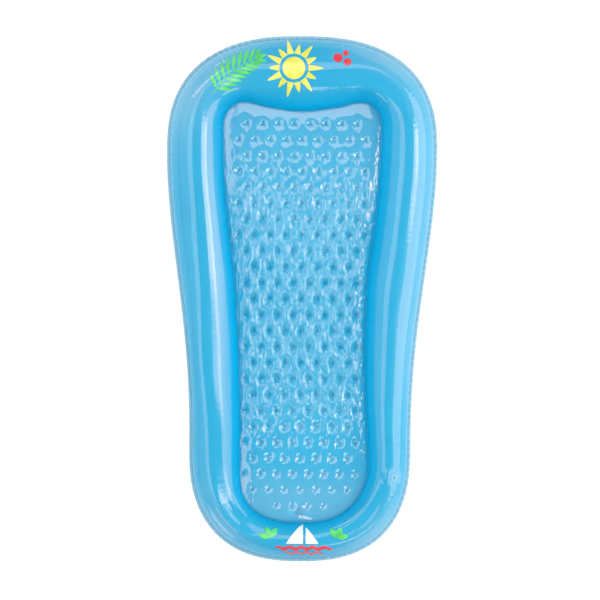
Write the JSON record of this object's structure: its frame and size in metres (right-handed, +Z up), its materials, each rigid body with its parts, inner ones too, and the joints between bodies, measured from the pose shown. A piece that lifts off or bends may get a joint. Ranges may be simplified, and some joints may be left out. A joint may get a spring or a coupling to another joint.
{
  "type": "swim float mat",
  "caption": "Inflatable lying mat for a pool: a dimpled bed inside a tapered air ring with a raised pillow end, with push-in air valves.",
  "frame": {"origin": "on the floor under the middle of the mat", "axes": "+Z up, +Y along the mat towards its head end (the wide pillow), +X to the right when seen from above with the head away from the viewer"},
  "size_m": [0.9158, 1.78, 0.1965],
  "materials": {
    "sheet_vinyl": "glossy translucent blue film",
    "seam_vinyl": "fused film, slightly duller",
    "valve_vinyl": "soft clear blue moulding"
  },
  "bodies": {
    "mat": {"ring_top_sheet": "sheet_vinyl", "ring_bottom_sheet": "sheet_vinyl", "outer_weld_seam": "seam_vinyl", "inner_weld_seam": "seam_vinyl", "bed_top_sheet": "sheet_vinyl", "bed_bottom_sheet": "sheet_vinyl", "ring_valve_boot": "valve_vinyl", "bed_valve_boot": "valve_vinyl"},
    "ring_neck": {"ring_valve_neck": "valve_vinyl"},
    "ring_plug": {"ring_valve_plug": "valve_vinyl", "ring_valve_strap": "valve_vinyl"},
    "ring_flap": {"ring_valve_flap": "valve_vinyl"},
    "bed_neck": {"bed_valve_neck": "valve_vinyl"},
    "bed_plug": {"bed_valve_plug": "valve_vinyl", "bed_valve_strap": "valve_vinyl"},
    "bed_flap": {"bed_valve_flap": "valve_vinyl"}
  },
  "joints": [
    {"name": "ring_neck_slide", "type": "slide", "parent": "mat", "child": "ring_neck", "axis": [0.4431, -0.0824, 0.8927], "range_m": [0, 0.009]},
    {"name": "ring_plug_hinge", "type": "hinge", "parent": "ring_neck", "child": "ring_plug", "pos_m": [0.32187, -0.58986, 0.14526], "axis": [-0.8883, 0.0936, 0.4496], "range_deg": [0, 150]},
    {"name": "ring_flap_hinge", "type": "hinge", "parent": "ring_neck", "child": "ring_flap", "pos_m": [0.31482, -0.59342, 0.13208], "axis": [0.8883, -0.0936, -0.4496], "range_deg": [0, 45], "stiffness_Nm_per_rad": 0.0001, "springref_deg": -11.46},
    {"name": "bed_neck_slide", "type": "slide", "parent": "mat", "child": "bed_neck", "axis": [0, 0, -1], "range_m": [0, 0.009]},
    {"name": "bed_plug_hinge", "type": "hinge", "parent": "bed_neck", "child": "bed_plug", "pos_m": [-0.01, -0.723, 0.05601], "axis": [0, 1, 0], "range_deg": [0, 150]},
    {"name": "bed_flap_hinge", "type": "hinge", "parent": "bed_neck", "child": "bed_flap", "pos_m": [-0.0052, -0.723, 0.07061], "axis": [0, -1, 0], "range_deg": [0, 45], "stiffness_Nm_per_rad": 0.0001, "springref_deg": -11.46}
  ]
}
